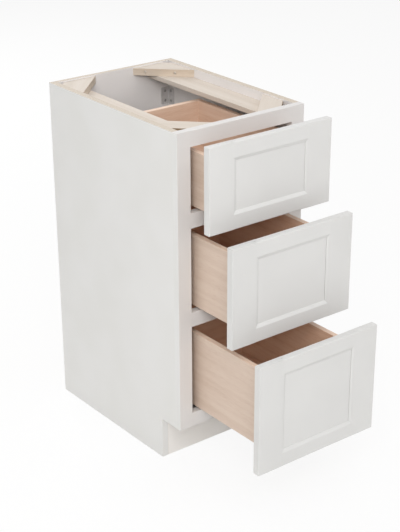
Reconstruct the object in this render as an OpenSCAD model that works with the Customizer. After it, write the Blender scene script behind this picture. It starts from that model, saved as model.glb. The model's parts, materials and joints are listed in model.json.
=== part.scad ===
// Three-drawer vanity base with a face frame, full overlay fronts and drawers on concealed runners.
// The origin is on the wall, at floor level, in the middle of the cabinet's width. The front faces -Y.

/* [Cabinet] */
// Overall width
cab_w = 381; // [356:1:460]
// Overall depth, from the wall to the front of the face frame
cab_d = 533.4; // [520:0.1:610]
// Overall height without a worktop
cab_h = 876.3; // [840:0.1:920]
// Thickness of the side panels
side_t = 18; // [14:0.5:20]
// Thickness of the back panel
back_t = 12; // [10:0.5:18]
// Thickness of the cabinet floor
floor_t = 12; // [9:0.5:15]
// Height of the toe space
toe_h = 111.1; // [90:0.1:120]
// Depth of the toe space, from the front of the face frame
toe_d = 76.2; // [50:0.1:90]
// Thickness of the board at the back of the toe space
toe_board_t = 12; // [9:0.5:18]

/* [Face frame] */
// Thickness of the face frame
frame_t = 19; // [17:0.5:22]
// Width of the upright stiles
stile_w = 38.1; // [34:0.1:42]
// Height of the top rail
top_rail_h = 38.1; // [34:0.1:50]
// Height of the two rails between the drawers
mid_rail_h = 38.1; // [34:0.1:42]
// Height of the bottom rail
bottom_rail_h = 38.1; // [34:0.1:42]
// Height of the upper drawer's opening
upper_open_h = 160.3; // [140:0.1:170]
// Height of the middle drawer's opening
middle_open_h = 215.9; // [200:0.1:230]

/* [Corner blocks and cleats] */
// Length of a corner block along each wall
block_leg = 114; // [105:1:125]
// Length along each wall that is cut off a front block's square corner
front_block_trim = 38; // [20:1:40]
// Length along each wall that is cut off a rear block's square corner
rear_block_trim = 18; // [10:1:40]
// Thickness of the corner blocks
block_t = 19; // [16:0.5:22]
// Drop from the cabinet's top edge to the blocks
block_drop = 3.2; // [1:0.1:6]
// Width of the cleats along the side panels
cleat_w = 68; // [55:1:72]
// Thickness of the cleats
cleat_t = 12.7; // [9:0.1:15]

/* [Drawer fronts] */
// Thickness of the fronts
front_t = 19; // [18:0.5:22]
// Gap from a front's side edge to the cabinet's side
side_reveal = 8.3; // [3:0.1:12]
// Gap from the upper front to the cabinet's top
top_reveal = 7.6; // [3:0.1:12]
// Gap from the lower front to the bottom of the face frame
bottom_reveal = 9.3; // [3:0.1:12]
// Gap between two fronts
front_gap = 4; // [3:0.1:8]
// Width of a front's stiles, with the bevel
front_stile_w = 78; // [60:0.5:85]
// Height of a front's rails, with the bevel
front_rail_h = 43.6; // [38:0.1:50]
// Width of the bevel round the centre panel
bevel_w = 8; // [4:0.5:8.5]
// Depth of the bevel
bevel_d = 3.5; // [3:0.5:6]
// Step from the bevel down to the centre panel
panel_step = 1; // [1:0.1:2.5]
// Thickness of the centre panel
panel_t = 6; // [5:0.1:7]
// Depth of the groove that holds the centre panel
panel_groove = 9; // [8.5:0.1:11]

/* [Drawer boxes] */
// Outside width of the boxes
box_w = 266.7; // [256:0.1:280]
// Outside length of the boxes
box_l = 424; // [380:1:430]
// Thickness of the sides, front and back
wall_t = 14; // [12:0.5:16]
// Thickness of the bottom
bottom_t = 6.35; // [5:0.05:9]
// Height of the bottom above the lower edge of the sides
recess_h = 12.7; // [12.7:0.1:14]
// Depth of the groove that holds the bottom
bottom_groove = 6; // [4:0.5:8]
// Gap from an opening's lower edge to the box
box_lift = 8; // [8:0.1:10]
// Gap from the upper box to the top of its opening
upper_clear = 16.9; // [6:0.1:30]
// Gap from the middle box to the top of its opening
middle_clear = 25.4; // [10:0.1:40]
// Gap from the lower box to the top of its opening
lower_clear = 26.4; // [10:0.1:40]
// Height that each dovetail takes on a corner, about
tail_pitch = 45; // [35:1:60]

/* [Drawer positions] */
// How far the upper drawer stands open
upper_pull = 87.5; // [2:0.1:390]
// How far the middle drawer stands open
middle_pull = 170.8; // [2:0.1:390]
// How far the lower drawer stands open
lower_pull = 270.7; // [2:0.1:390]

/* [Runners] */
// Outside width of the cabinet member
member_w = 30; // [28:0.5:32]
// Height of the cabinet member's walls
member_h = 10; // [9:0.5:10.5]
// Thickness of the cabinet member and its bracket
member_t = 1.5; // [1.2:0.1:1.6]
// Thickness of the middle and drawer members
slim_t = 1.2; // [1:0.1:1.4]
// Thickness of the bearing strips
bearing_t = 0.8; // [0.6:0.1:1.2]
// Length of the rear bracket's seat under the cabinet member
seat_l = 40; // [25:1:60]
// Length of the locking clips
clip_l = 52; // [40:1:60]

/* [Brackets and screws] */
// Width of each flange of a corner bracket
bracket_w = 26; // [20:0.5:28]
// Height of a corner bracket
bracket_h = 46; // [40:0.5:60]
// Thickness of a corner bracket
bracket_t = 1.8; // [1.2:0.1:2.5]
// Drop from the cabinet's top edge to the upper brackets
bracket_drop = 71; // [55:0.1:110]
// Rise from the cabinet floor to the lower brackets
bracket_rise = 69.7; // [10:0.1:120]
// Radius of the screws' shanks
screw_r = 1.75; // [1.5:0.05:2]
// Radius of the screws' heads
head_r = 3.8; // [3.2:0.1:4.2]
// Height of the screws' heads
head_h = 2; // [1.5:0.1:2.5]
// Length of the screws that hold brackets and runners
screw_l = 10; // [8:0.5:10]
// Depth that the corner blocks' screws enter the panels
screw_bite = 8; // [5:0.5:10]

/* [Hidden] */
// Clearances: at a grooved panel's faces and at its hidden edges, round screws, and beside what runs or sits
groove_clear = 0.15;
edge_clear = 1;
hole_clear = 0.15;
run_clear = 0.3;
seat_clear = 0.2;
// How far a cut reaches past the face that it leaves by
past = 1;
// Share of a dovetail's height at its root and at its tip, on each side of its middle
tail_root = 0.27;
tail_tip = 0.35;
// Places of the two screws along a corner block's long face, as shares of its length
block_screw_places = [0.2, 0.685];
// Places of the screws on a bracket's flange, as shares of its height and width
bracket_screw_heights = [0.21, 0.79];
head_sink = 1.5;
// The lower edges of the lower and the upper corner brackets
bracket_rows = [toe_h + floor_t + bracket_rise, cab_h - bracket_drop - bracket_h];

// Cabinet
half_w = cab_w / 2;
front_y = -cab_d;
frame_back_y = front_y + frame_t;
panel_in_y = -back_t;
inner_x = half_w - side_t;
open_x = half_w - stile_w;
toe_y = front_y + toe_d;

// The three openings, numbered from the top
UPPER = 0;
MIDDLE = 1;
LOWER = 2;
DRAWERS = [UPPER, MIDDLE, LOWER];
lower_open_z = toe_h + bottom_rail_h;
upper_open_z = cab_h - top_rail_h - upper_open_h;
middle_open_z = upper_open_z - mid_rail_h - middle_open_h;
lower_open_h = middle_open_z - mid_rail_h - lower_open_z;
open_z = [upper_open_z, middle_open_z, lower_open_z];
open_h = [upper_open_h, middle_open_h, lower_open_h];

// Corner blocks and cleats
block_z = cab_h - block_drop - block_t;
cleat_z = block_z - cleat_t;

// Drawer fronts
pull = [upper_pull, middle_pull, lower_pull];
front_w = cab_w - 2 * side_reveal;
gap_shift = (mid_rail_h - front_gap) / 2;
front_low = [upper_open_z - gap_shift, middle_open_z - gap_shift, toe_h + bottom_reveal];
front_high = [cab_h - top_reveal, middle_open_z + middle_open_h + gap_shift, lower_open_z + lower_open_h + gap_shift];
panel_v = bevel_d + panel_step;

// Drawer boxes
box_clear = [upper_clear, middle_clear, lower_clear];
box_half = box_w / 2;
box_in = box_half - wall_t;
function box_z(d) = open_z[d] + box_lift;
function box_h(d) = open_h[d] - box_lift - box_clear[d];
function box_y(d) = front_y - pull[d];
function tails(d) = max(2, round(box_h(d) / tail_pitch));

// Room beside the rear brackets' trays, between nested members, and under the clips
tray_clear = 1.6;
nest_drop = 1;
nest_rise = 2.8;
middle_rise = 5.5;
// Runners, across: the members nest in one another with a bearing strip on each side
member_gap = bearing_t + run_clear;
middle_w = member_w - 2 * (member_t + member_gap);
middle_in_w = middle_w - 2 * slim_t;
drawer_member_w = middle_in_w - 2 * member_gap;
tray_w = member_w + 2 * (seat_clear + member_t);
runner_x = box_in - tray_w / 2 - tray_clear;
notch_x = runner_x - tray_w / 2 - tray_clear;
// Runners, up from the lower edge of the opening
member_z = 1;
member_top = member_z + member_h;
middle_z = member_z + member_t + nest_drop;
middle_top = member_top + middle_rise;
drawer_member_z = middle_z + slim_t + nest_rise;
drawer_member_top = box_lift + recess_h;
clip_z = member_top + nest_drop;
tray_z = member_z - member_t;
tray_h = member_h - member_t;
strip_inset = 1;
// Runners, along
runner_l = box_l - 20;
member_y = frame_back_y;
middle_l = runner_l - 4;
middle_y = member_y + 2.4;
clip_nose = 7;
drawer_member_in = wall_t + clip_nose + edge_clear;
drawer_member_l = box_l - drawer_member_in - 6;
// The clips lie beside the middle members
clip_w = 24;
clip_gap = 0.6;
// The tabs that hold the cabinet members' front ends, and the plates of the rear brackets
tab_h = 22;
tab_screw_z = -12;
plate_z = -16;
plate_h = 50;
plate_screw_places = [0.16, 0.84];

// Shared shapes

// A rectangular piece between its lowest and its highest corner
module piece(low, high) {
    translate(low) cube(high - low);
}

// Draws its children on the right and, mirrored, on the left
module both_sides() {
    for (side = [0, 1]) mirror([side, 0, 0]) children();
}

// A channel's section, open at the top, standing on the X axis
module channel_section(w, h, t) {
    difference() {
        translate([-w / 2, 0]) square([w, h]);
        translate([-w / 2 + t, t]) square([w - 2 * t, h]);
    }
}

// Pushes a section that lies in X and Z along +Y for the given length, from y
module along_y(y, length) {
    translate([0, y + length, 0]) rotate([90, 0, 0]) linear_extrude(length) children();
}

// A pan head screw: its head's seat is at the origin and its shank runs along +Z
module screw(length, clear = 0) {
    cylinder(r = screw_r + clear, h = length + clear, $fn = 32);
    translate([0, 0, -head_h]) cylinder(r = head_r + clear, h = head_h, $fn = 32);
}

// Only the hole that a screw's shank needs
module shank_hole(length) {
    translate([0, 0, -past]) cylinder(r = screw_r + hole_clear, h = length + past + hole_clear, $fn = 32);
}

// Places its children at each screw of one corner bracket's rear flange, pointing into the back panel
module at_bracket_back(z) {
    for (share = bracket_screw_heights)
        translate([inner_x - bracket_w / 2, panel_in_y - bracket_t, z + bracket_h * share])
            rotate([-90, 0, 0]) children();
}

// The same on the bracket's side flange, pointing into the side panel
module at_bracket_side(z) {
    for (share = bracket_screw_heights)
        translate([inner_x - bracket_t, panel_in_y - bracket_w / 2, z + bracket_h * share])
            rotate([0, 90, 0]) children();
}

// Places its children at the screws of each rear runner bracket on the right
module at_rear_brackets() {
    for (d = DRAWERS, place = plate_screw_places)
        translate([runner_x, panel_in_y - member_t, open_z[d] + plate_z + plate_h * place])
            rotate([-90, 0, 0]) children();
}

// Places its children at the screw of one cabinet member's front tab on the right
module at_tab(d) {
    translate([runner_x, member_y + member_t, open_z[d] + tab_screw_z]) rotate([90, 0, 0]) children();
}

// Places its children at each screw of a corner block on the right, with the screw's reach in $reach
module at_block_screws(front) {
    corner_y = front ? frame_back_y : panel_in_y;
    turn = front ? 1 : -1;
    for (share = block_screw_places) {
        $reach = min(share, 1 - share) * block_leg * sqrt(2) + screw_bite;
        translate([
            inner_x - block_leg * (1 - share),
            corner_y + turn * block_leg * share,
            block_z + block_t / 2
        ])
            rotate([0, 90, -45 * turn])
                translate([0, 0, head_sink + head_h]) children();
    }
}

// Carcass

// The right side panel, with the toe space cut out of its front corner
module side_panel() {
    difference() {
        piece([inner_x, frame_back_y, 0], [half_w, 0, cab_h]);
        piece([inner_x - past, frame_back_y - past, -past], [half_w + past, toe_y, toe_h]);
        for (z = bracket_rows) at_bracket_side(z) shank_hole(screw_l);
        for (front = [true, false]) at_block_screws(front) shank_hole($reach - head_sink - head_h);
    }
}

module side_panel_left() {
    color("whitesmoke") mirror([1, 0, 0]) side_panel();
}

module side_panel_right() {
    color("whitesmoke") side_panel();
}

module back_panel() {
    color("whitesmoke") difference() {
        piece([-inner_x, panel_in_y, 0], [inner_x, 0, cab_h]);
        both_sides() {
            for (z = bracket_rows) at_bracket_back(z) shank_hole(screw_l);
            at_rear_brackets() shank_hole(screw_l);
            at_block_screws(false) shank_hole($reach - head_sink - head_h);
        }
    }
}

module floor_panel() {
    color("whitesmoke") piece([-inner_x, frame_back_y, toe_h], [inner_x, panel_in_y, toe_h + floor_t]);
}

module toe_board() {
    color("whitesmoke") piece([-inner_x, toe_y, 0], [inner_x, toe_y + toe_board_t, toe_h]);
}

// Face frame

// The right stile
module face_stile() {
    difference() {
        piece([open_x, front_y, toe_h], [half_w, frame_back_y, cab_h]);
        at_block_screws(true) shank_hole($reach - head_sink - head_h);
    }
}

module face_stile_left() {
    color("white") mirror([1, 0, 0]) face_stile();
}

module face_stile_right() {
    color("white") face_stile();
}

// A rail between the stiles, from z up
module face_rail(z, h) {
    color("white") difference() {
        piece([-open_x, front_y, z], [open_x, frame_back_y, z + h]);
        both_sides() {
            for (d = DRAWERS) at_tab(d) shank_hole(screw_l);
            at_block_screws(true) shank_hole($reach - head_sink - head_h);
        }
    }
}

module face_top_rail() {
    face_rail(cab_h - top_rail_h, top_rail_h);
}

module face_upper_mid_rail() {
    face_rail(upper_open_z - mid_rail_h, mid_rail_h);
}

module face_lower_mid_rail() {
    face_rail(middle_open_z - mid_rail_h, mid_rail_h);
}

module face_bottom_rail() {
    face_rail(toe_h, bottom_rail_h);
}

// Corner blocks and cleats

// A corner block on the right, at the front or at the rear
module corner_block(front) {
    corner_y = front ? frame_back_y : panel_in_y;
    turn = front ? 1 : -1;
    trim = front ? front_block_trim : rear_block_trim;
    color("burlywood") difference() {
        translate([inner_x, corner_y, block_z])
            linear_extrude(block_t)
                polygon([
                    [-block_leg, 0],
                    [-trim, 0],
                    [0, turn * trim],
                    [0, turn * block_leg]
                ]);
        at_block_screws(front) {
            shank_hole($reach);
            translate([0, 0, -block_t]) cylinder(r = head_r + hole_clear, h = block_t, $fn = 32);
        }
    }
}

module corner_block_front_left() {
    mirror([1, 0, 0]) corner_block(true);
}

module corner_block_front_right() {
    corner_block(true);
}

module corner_block_rear_left() {
    mirror([1, 0, 0]) corner_block(false);
}

module corner_block_rear_right() {
    corner_block(false);
}

// The right cleat, under the corner blocks
module side_cleat() {
    color("burlywood") piece([inner_x - cleat_w, frame_back_y, cleat_z], [inner_x, panel_in_y, cleat_z + cleat_t]);
}

module side_cleat_left() {
    mirror([1, 0, 0]) side_cleat();
}

module side_cleat_right() {
    side_cleat();
}

// Brackets and screws

// One L-shaped bracket in the right rear corner, with its lower edge at z
module corner_bracket(z) {
    difference() {
        union() {
            piece([inner_x - bracket_w, panel_in_y - bracket_t, z], [inner_x, panel_in_y, z + bracket_h]);
            piece([inner_x - bracket_t, panel_in_y - bracket_w, z], [inner_x, panel_in_y, z + bracket_h]);
        }
        at_bracket_back(z) shank_hole(screw_l);
        at_bracket_side(z) shank_hole(screw_l);
    }
}

module corner_brackets() {
    color("silver") both_sides() for (z = bracket_rows) corner_bracket(z);
}

module carcass_screws() {
    color("gainsboro") both_sides() {
        for (z = bracket_rows) {
            at_bracket_back(z) screw(screw_l);
            at_bracket_side(z) screw(screw_l);
        }
        for (d = DRAWERS) at_tab(d) screw(screw_l);
        at_rear_brackets() screw(screw_l);
        for (front = [true, false]) at_block_screws(front) screw($reach - head_sink - head_h);
    }
}

// Runners

// A cabinet member on the right: a channel with a tab that is screwed to the back of the face frame
module cabinet_member(d) {
    difference() {
        translate([runner_x, 0, open_z[d]]) union() {
            translate([0, 0, member_z]) along_y(member_y, runner_l) channel_section(member_w, member_h, member_t);
            piece([-member_w / 2, member_y, -tab_h], [member_w / 2, member_y + member_t, member_z + member_t]);
        }
        at_tab(d) shank_hole(screw_l);
    }
}

module runner_cabinet_members() {
    color("silver") both_sides() for (d = DRAWERS) cabinet_member(d);
}

// A rear bracket on the right: a tray under the cabinet member's end and a plate on the back panel
module rear_bracket(d) {
    tray_y = member_y + runner_l - seat_l;
    difference() {
        translate([runner_x, 0, open_z[d]]) union() {
            translate([0, 0, tray_z]) along_y(tray_y, panel_in_y - tray_y) channel_section(tray_w, tray_h, member_t);
            piece([-tray_w / 2, panel_in_y - member_t, plate_z], [tray_w / 2, panel_in_y, plate_z + plate_h]);
        }
        at_rear_brackets() shank_hole(screw_l);
    }
}

module runner_rear_brackets() {
    color("silver") both_sides() for (d = DRAWERS) rear_bracket(d);
}

// Section of a bearing strip between two nested members, from x outwards and between two heights
module bearing_strip(x, low, high) {
    translate([x, low + strip_inset]) square([bearing_t, high - low - 2 * strip_inset]);
}

// The middle members, which move half as far as the drawer, with their bearing strips
module middle_members(d) {
    start_y = middle_y - pull[d] / 2;
    color("silver") both_sides() translate([runner_x, 0, open_z[d]]) {
        translate([0, 0, middle_z])
            along_y(start_y, middle_l) channel_section(middle_w, middle_top - middle_z, slim_t);
        for (side = [0, 1]) mirror([side, 0, 0]) {
            along_y(start_y, middle_l) bearing_strip(middle_w / 2, middle_z, member_top);
            along_y(start_y, middle_l) bearing_strip(middle_in_w / 2 - bearing_t, drawer_member_z, middle_top);
        }
    }
}

// The drawer members, channels open at the bottom, fixed under the box
module drawer_members(d) {
    color("silver") both_sides() translate([runner_x, 0, open_z[d] + drawer_member_top])
        along_y(box_y(d) + drawer_member_in, drawer_member_l)
            mirror([0, 1]) channel_section(drawer_member_w, drawer_member_top - drawer_member_z, slim_t);
}

// The clips that lock the box to its drawer members, behind the box's front
module runner_clips(d) {
    clip_y = box_y(d) + wall_t;
    clip_x = -middle_w / 2 - clip_gap;
    color("dimgray") both_sides() translate([runner_x, clip_y, open_z[d] + clip_z])
        linear_extrude(drawer_member_top - clip_z)
            union() {
                translate([clip_x - clip_w, 0]) square([clip_w, clip_l]);
                translate([clip_x - clip_w, 0]) square([drawer_member_w / 2 - clip_x + clip_w, clip_nose]);
            }
}

// Drawer fronts

// Section of a stile or rail: its outer edge at x = 0, its face at y = 0, its bevel and groove at the inner edge
module frame_section(w) {
    groove_low = panel_v - groove_clear;
    groove_high = panel_v + panel_t + groove_clear;
    polygon([
        [0, 0],
        [w - bevel_w, 0],
        [w, bevel_d],
        [w, groove_low],
        [w - panel_groove, groove_low],
        [w - panel_groove, groove_high],
        [w, groove_high],
        [w, front_t],
        [0, front_t]
    ]);
}

// The left stile of a front
module front_stile(d) {
    translate([-front_w / 2, box_y(d) - front_t, front_low[d]])
        linear_extrude(front_high[d] - front_low[d]) frame_section(front_stile_w);
}

module front_stile_left(d) {
    color("white") front_stile(d);
}

module front_stile_right(d) {
    color("white") mirror([1, 0, 0]) front_stile(d);
}

// A rail of a front, shaped to sit over the stiles' bevels and in their grooves
module front_rail(d, top) {
    reach = front_w / 2 - front_stile_w + bevel_w;
    edge_z = top ? front_high[d] : front_low[d];
    color("white") difference() {
        translate([top ? -reach : reach, box_y(d) - front_t, edge_z])
            rotate([0, top ? 90 : -90, 0])
                linear_extrude(2 * reach) frame_section(front_rail_h);
        both_sides() front_stile(d);
    }
}

module front_panel(d) {
    in_x = front_w / 2 - front_stile_w + panel_groove - edge_clear;
    in_z = front_rail_h - panel_groove + edge_clear;
    face_y = box_y(d) - front_t + panel_v;
    color("white") piece([-in_x, face_y, front_low[d] + in_z], [in_x, face_y + panel_t, front_high[d] - in_z]);
}

// Drawer boxes

// One end of a side board, from its bottom to its top: the dovetails' corners, as [along, up]
function tail_corners(h, count) = [
    for (i = [0 : count - 1], corner = [[1, -tail_root], [0, -tail_tip], [0, tail_tip], [1, tail_root]])
        [corner[0] * wall_t, (i + 0.5 + corner[1]) * h / count]
];

// A side board's outline, as [along, up]; at the rear the lowest dovetail reaches down to the board's edge
function side_outline(h, count) =
    let (ends = tail_corners(h, count))
    concat(
        [[wall_t, 0]],
        ends,
        [[wall_t, h], [box_l - wall_t, h]],
        [for (i = [len(ends) - 1 : -1 : 2]) [box_l - ends[i][0], ends[i][1]]],
        [[box_l, 0]]
    );

// The bottom's space: it reaches into the grooves up to the given distance from their depth
module bottom_space(d, edge, face) {
    in_groove = bottom_groove - edge;
    low_z = box_z(d) + recess_h - face;
    piece(
        [-box_in - in_groove, box_y(d) + wall_t - in_groove, low_z],
        [box_in + in_groove, box_y(d) + box_l - wall_t + in_groove, low_z + bottom_t + 2 * face]
    );
}

// The grooves that the bottom needs in the boards round it
module bottom_grooves(d) {
    bottom_space(d, 0, groove_clear);
}

// The right side board as a plain dovetailed board
module side_board(d) {
    translate([box_in, box_y(d), box_z(d)])
        rotate([90, 0, 90]) linear_extrude(wall_t) polygon(side_outline(box_h(d), tails(d)));
}

module box_side(d) {
    difference() {
        side_board(d);
        bottom_grooves(d);
    }
}

module box_side_left(d) {
    color("wheat") mirror([1, 0, 0]) box_side(d);
}

module box_side_right(d) {
    color("wheat") box_side(d);
}

// A board across the box, with pins between the sides' dovetails
module cross_board(d, y) {
    difference() {
        piece([-box_half, y, box_z(d)], [box_half, y + wall_t, box_z(d) + box_h(d)]);
        both_sides() side_board(d);
        bottom_grooves(d);
    }
}

module box_front(d) {
    color("wheat") cross_board(d, box_y(d));
}

// The back is notched where the runners pass under the box
module box_back(d) {
    y = box_y(d) + box_l - wall_t;
    color("wheat") difference() {
        cross_board(d, y);
        both_sides() piece([notch_x, y - past, box_z(d) - past], [box_in, y + wall_t + past, box_z(d) + recess_h]);
    }
}

module box_bottom(d) {
    color("tan") bottom_space(d, edge_clear, 0);
}

side_panel_left();
side_panel_right();
back_panel();
floor_panel();
toe_board();
face_stile_left();
face_stile_right();
face_top_rail();
face_upper_mid_rail();
face_lower_mid_rail();
face_bottom_rail();
corner_block_front_left();
corner_block_front_right();
corner_block_rear_left();
corner_block_rear_right();
side_cleat_left();
side_cleat_right();
corner_brackets();
carcass_screws();
runner_cabinet_members();
runner_rear_brackets();

front_stile_left(UPPER);  // upper_front_stile_left
front_stile_right(UPPER);  // upper_front_stile_right
front_rail(UPPER, true);  // upper_front_top_rail
front_rail(UPPER, false);  // upper_front_bottom_rail
front_panel(UPPER);  // upper_front_panel
box_side_left(UPPER);  // upper_box_side_left
box_side_right(UPPER);  // upper_box_side_right
box_front(UPPER);  // upper_box_front
box_back(UPPER);  // upper_box_back
box_bottom(UPPER);  // upper_box_bottom
drawer_members(UPPER);  // upper_drawer_members
runner_clips(UPPER);  // upper_runner_clips
middle_members(UPPER);  // upper_middle_members

front_stile_left(MIDDLE);  // middle_front_stile_left
front_stile_right(MIDDLE);  // middle_front_stile_right
front_rail(MIDDLE, true);  // middle_front_top_rail
front_rail(MIDDLE, false);  // middle_front_bottom_rail
front_panel(MIDDLE);  // middle_front_panel
box_side_left(MIDDLE);  // middle_box_side_left
box_side_right(MIDDLE);  // middle_box_side_right
box_front(MIDDLE);  // middle_box_front
box_back(MIDDLE);  // middle_box_back
box_bottom(MIDDLE);  // middle_box_bottom
drawer_members(MIDDLE);  // middle_drawer_members
runner_clips(MIDDLE);  // middle_runner_clips
middle_members(MIDDLE);  // middle_middle_members

front_stile_left(LOWER);  // lower_front_stile_left
front_stile_right(LOWER);  // lower_front_stile_right
front_rail(LOWER, true);  // lower_front_top_rail
front_rail(LOWER, false);  // lower_front_bottom_rail
front_panel(LOWER);  // lower_front_panel
box_side_left(LOWER);  // lower_box_side_left
box_side_right(LOWER);  // lower_box_side_right
box_front(LOWER);  // lower_box_front
box_back(LOWER);  // lower_box_back
box_bottom(LOWER);  // lower_box_bottom
drawer_members(LOWER);  // lower_drawer_members
runner_clips(LOWER);  // lower_runner_clips
middle_members(LOWER);  // lower_middle_members
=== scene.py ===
"""Finishes the three-drawer vanity base: eased boards, paint, bare and lacquered wood, steel and plastic."""

import json
import logging
import math
from collections.abc import Callable, Sequence
from dataclasses import dataclass, field
from enum import Enum, auto
from typing import Any

import bmesh
import bpy
import numpy as np
from mathutils import Matrix, Vector
from mathutils.geometry import delaunay_2d_cdt


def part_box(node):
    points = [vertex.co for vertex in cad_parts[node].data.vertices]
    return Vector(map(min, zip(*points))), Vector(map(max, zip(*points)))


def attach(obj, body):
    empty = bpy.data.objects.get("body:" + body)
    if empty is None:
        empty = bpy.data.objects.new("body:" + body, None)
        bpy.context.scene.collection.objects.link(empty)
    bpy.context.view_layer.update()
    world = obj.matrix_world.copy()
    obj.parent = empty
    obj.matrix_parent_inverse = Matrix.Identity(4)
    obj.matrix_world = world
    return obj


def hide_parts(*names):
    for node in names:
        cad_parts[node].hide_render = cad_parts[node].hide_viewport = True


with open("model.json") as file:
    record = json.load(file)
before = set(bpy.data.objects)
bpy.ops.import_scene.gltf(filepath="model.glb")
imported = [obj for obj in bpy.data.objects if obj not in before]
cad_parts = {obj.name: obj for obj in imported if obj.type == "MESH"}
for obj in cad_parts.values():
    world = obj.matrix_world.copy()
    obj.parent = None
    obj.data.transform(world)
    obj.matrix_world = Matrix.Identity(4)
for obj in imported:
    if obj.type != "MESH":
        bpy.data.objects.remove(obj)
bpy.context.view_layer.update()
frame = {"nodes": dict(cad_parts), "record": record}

LOG = logging.getLogger("vanity_base")
MM = 0.001
# Points closer than this are one point, and its decimal places in metres
WELD = 0.01 * MM
WELD_PLACES = 5
# Faces that turn by less are one face
FLAT = math.radians(1)
# Edges that turn by more are sharp, and the cosine of that turn
ARRIS = math.radians(40)
ARRIS_COSINE = math.cos(ARRIS)

Point = tuple[float, float]
Place = tuple[float, float, float]
# The points and faces of a part
Solid = tuple[list[Vector], list[list[int]]]
# A rule tells from an edge's two ends whether it is chosen
EdgeRule = Callable[[Vector, Vector], bool]
# An easing's radius in millimetres and its facets, and the same with the rule that chooses its edges
Ease = tuple[float, int]
Easing = tuple[float, int, EdgeRule]


class Named(Enum):
    """A choice whose name is a word in the names of nodes and materials."""

    @property
    def word(self) -> str:
        """The choice's word."""
        return self.name.lower()


class Axis(Named):
    """A direction of the cabinet: across it, from front to back, and up."""

    ACROSS = 0
    DEPTH = 1
    UP = 2

    def way(self, sign: int = 1) -> Vector:
        """Give the unit vector along this axis, or against it where the sign is -1."""
        return Vector([sign * float(other is self) for other in Axis])


class Storey(Named):
    """The three drawers."""

    UPPER = auto()
    MIDDLE = auto()
    LOWER = auto()


class Side(Named):
    """The left and the right of someone who faces the drawers."""

    LEFT = -1
    RIGHT = 1


# Colours and shader nodes


def linear(colour: str) -> tuple[float, float, float, float]:
    """Turn an sRGB hex value into a linear colour.

    Args:
        colour: the colour as #rrggbb.

    Returns:
        The linear red, green and blue, and an alpha of 1.
    """
    parts = [int(colour[i:i + 2], 16) / 255 for i in (1, 3, 5)]
    # The sRGB curve has a straight foot and a power above it
    red, green, blue = (p / 12.92 if p <= 0.04045 else ((p + 0.055) / 1.055) ** 2.4 for p in parts)
    return red, green, blue, 1.0


def add_node(
    tree: bpy.types.NodeTree,
    kind: str,
    values: dict[str | int, Any] | None = None,
    links: dict[str | int, bpy.types.NodeSocket] | None = None,
    stops: tuple[Sequence[float], Sequence[str]] = ((), ()),
    **settings: Any,
) -> bpy.types.Node:
    """Add a shader node with its settings, its sockets' values and its links.

    Args:
        tree: the node tree that gets the node.
        kind: the node's type without its ShaderNode prefix.
        values: values of input sockets, by the socket's name or number.
        links: output sockets that feed input sockets, by the input's name or number.
        stops: a colour ramp's places from 0 to 1, and their hex colours.
        settings: properties of the node itself.

    Returns:
        The new node.
    """
    node = tree.nodes.new("ShaderNode" + kind)
    for name, value in settings.items():
        setattr(node, name, value)
    for socket, value in (values or {}).items():
        node.inputs[socket].default_value = value
    for socket, source in (links or {}).items():
        tree.links.new(source, node.inputs[socket])
    for number, (place, colour) in enumerate(zip(*stops)):
        elements = node.color_ramp.elements
        element = elements[number] if number < len(elements) else elements.new(place)
        element.position = place
        element.color = linear(colour)
    return node


WHITE = "#ffffff"
# How many finer layers a pattern has
SMOOTH, SOFT, FINE, FINEST = 1.0, 2.0, 3.0, 4.0
# The numbers of a colour Mix node's sockets, which share their names with its float and vector sockets
MIX_A, MIX_B, MIX_OUT = 6, 7, 2
MULTIPLY = {"data_type": "RGBA", "blend_type": "MULTIPLY"}


class Recipe:
    """A material under way: its node tree, its Principled shader and its patterns' coordinates.

    The coordinates are in metres. A number of each piece's own shifts them, so that no two pieces look alike.
    """

    FARTHEST_SHIFT = 9.0
    RELIEF_STRENGTH = 0.5

    def __init__(self, name: str) -> None:
        """Start the material.

        Args:
            name: the material's name.
        """
        self.material = bpy.data.materials.new(name)
        self.material.use_nodes = True
        self.tree = self.material.node_tree
        self.shader = self.tree.nodes["Principled BSDF"]
        own = self.add("ObjectInfo", "Random")
        shift = self.add("MapRange", "Result", {"To Max": self.FARTHEST_SHIFT}, {"Value": own})
        self.place = self.add("VectorMath", "Vector", links={0: self.add("TexCoord", "Object"), 1: shift})

    def add(self, kind: str, output: str | int, *args: Any, **settings: Any) -> bpy.types.NodeSocket:
        """Add a node to this material's tree and give one of its output sockets."""
        return add_node(self.tree, kind, *args, **settings).outputs[output]

    def pattern(self, size_mm: Sequence[float], detail: float, yaw: float = 0.0) -> bpy.types.NodeSocket:
        """Add a cloudy pattern whose blotches have the given size along each axis.

        Args:
            size_mm: the size of a blotch across, in depth and up.
            detail: how many finer layers the pattern has.
            yaw: the pattern's turn about the vertical, in radians.

        Returns:
            The pattern's value socket.
        """
        values = {"Rotation": (0.0, 0.0, yaw), "Scale": [size * MM for size in size_mm]}
        scaled = self.add("Mapping", "Vector", values, {"Vector": self.place}, vector_type="TEXTURE")
        return self.add("TexNoise", "Fac", {"Scale": 1.0, "Detail": detail}, {"Vector": scaled})

    def finish(
        self,
        colour: bpy.types.NodeSocket,
        relief: bpy.types.NodeSocket,
        depth_mm: float,
        **numbers: float,
    ) -> bpy.types.Material:
        """Connect colour and relief, set the shader's numbers and give the material.

        Args:
            colour: the base colour's socket.
            relief: the height's socket.
            depth_mm: the height of the relief.
            numbers: values of the shader's own sockets, such as coat_weight.

        Returns:
            The finished material.
        """
        values = {"Strength": self.RELIEF_STRENGTH, "Distance": depth_mm * MM}
        normal = self.add("Bump", "Normal", values, {"Height": relief})
        self.tree.links.new(colour, self.shader.inputs["Base Color"])
        self.tree.links.new(normal, self.shader.inputs["Normal"])
        for name, value in numbers.items():
            socket = "IOR" if name == "ior" else name.replace("_", " ").title()
            self.shader.inputs[socket].default_value = value
        return self.material


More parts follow.
